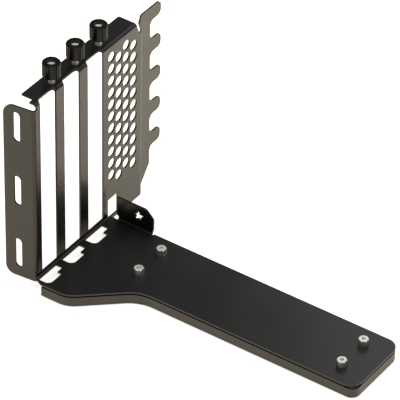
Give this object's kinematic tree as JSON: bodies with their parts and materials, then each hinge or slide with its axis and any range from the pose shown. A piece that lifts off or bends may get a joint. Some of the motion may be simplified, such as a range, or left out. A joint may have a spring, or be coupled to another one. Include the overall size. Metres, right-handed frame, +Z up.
{
  "type": "vertical graphics card mount",
  "caption": "Folded black steel bracket that stands a graphics card upright in a computer case: slotted, perforated rear panel with thumb screws, and a long base plate with hex standoffs.",
  "frame": {"origin": "middle of the footprint box, on the surface that the tray under the base rests on", "axes": "+Z up; +X runs along the row of expansion slots, from the left flange to the comb; +Y points out of the back of the rear panel, so the long base reaches to -Y"},
  "size_m": [0.114, 0.202, 0.1313],
  "materials": {
    "powder_coated_steel": "satin black powder coat",
    "powder_coated_tray": "satin black powder coat",
    "knurled_cap": "black anodised, knurled",
    "bare_screw_steel": "zinc plated",
    "nickel_plate": "satin nickel plate"
  },
  "bodies": {
    "frame": {"bracket": "powder_coated_steel", "base_tray": "powder_coated_tray", "standoff_1": "nickel_plate", "standoff_2": "nickel_plate", "standoff_3": "nickel_plate", "standoff_4": "nickel_plate", "base_screw_1": "bare_screw_steel", "base_screw_2": "bare_screw_steel", "base_screw_3": "bare_screw_steel", "base_screw_4": "bare_screw_steel"},
    "screw_1": {"shank_1": "bare_screw_steel"},
    "screw_2": {"shank_2": "bare_screw_steel"},
    "screw_3": {"shank_3": "bare_screw_steel"},
    "knob_1": {"cap_1": "knurled_cap"},
    "knob_2": {"cap_2": "knurled_cap"},
    "knob_3": {"cap_3": "knurled_cap"}
  },
  "joints": [
    {"name": "screw_1_travel", "type": "slide", "parent": "frame", "child": "screw_1", "axis": [0, 0, 1], "range_m": [-0.0036, 0.0018]},
    {"name": "screw_2_travel", "type": "slide", "parent": "frame", "child": "screw_2", "axis": [0, 0, 1], "range_m": [-0.0036, 0.0018]},
    {"name": "screw_3_travel", "type": "slide", "parent": "frame", "child": "screw_3", "axis": [0, 0, 1], "range_m": [-0.0036, 0.0018]},
    {"name": "screw_1_turn", "type": "hinge", "parent": "screw_1", "child": "knob_1", "pos_m": [-0.0321, 0.0868, 0.1225], "axis": [0, 0, 1], "range_deg": [-1633.5, 817]},
    {"name": "screw_2_turn", "type": "hinge", "parent": "screw_2", "child": "knob_2", "pos_m": [-0.01178, 0.0868, 0.1225], "axis": [0, 0, 1], "range_deg": [-1633.5, 817]},
    {"name": "screw_3_turn", "type": "hinge", "parent": "screw_3", "child": "knob_3", "pos_m": [0.00854, 0.0868, 0.1225], "axis": [0, 0, 1], "range_deg": [-1633.5, 817]}
  ],
  "couplings": [
    {"joint": "screw_1_turn", "follows": "screw_1_travel", "rad_per_m": 7915.8},
    {"joint": "screw_2_turn", "follows": "screw_2_travel", "rad_per_m": 7915.8},
    {"joint": "screw_3_turn", "follows": "screw_3_travel", "rad_per_m": 7915.8}
  ]
}
